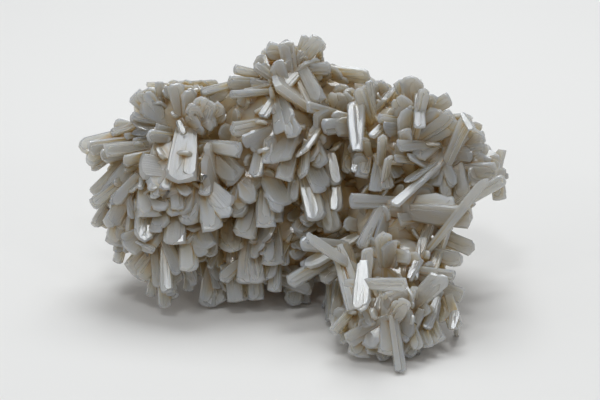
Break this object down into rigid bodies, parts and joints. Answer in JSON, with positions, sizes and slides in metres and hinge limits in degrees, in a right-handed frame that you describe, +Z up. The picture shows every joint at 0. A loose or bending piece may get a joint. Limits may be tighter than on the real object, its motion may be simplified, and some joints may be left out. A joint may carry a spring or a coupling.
{
  "type": "stilbite specimen",
  "caption": "Cluster of pearly cream tabular stilbite crystals grown together into one irregular mass with a projecting lower lobe, resting on a small flat break.",
  "frame": {"origin": "on the floor, under the middle of the cluster's bounding box", "axes": "+Z up, +X along the cluster's width to the right as seen from its front, -Y towards the front"},
  "size_m": [0.1208, 0.0912, 0.0711],
  "materials": {
    "stilbite": "pearly, slightly translucent"
  },
  "bodies": {
    "root": {"stilbite_cluster": "stilbite"}
  },
  "joints": []
}
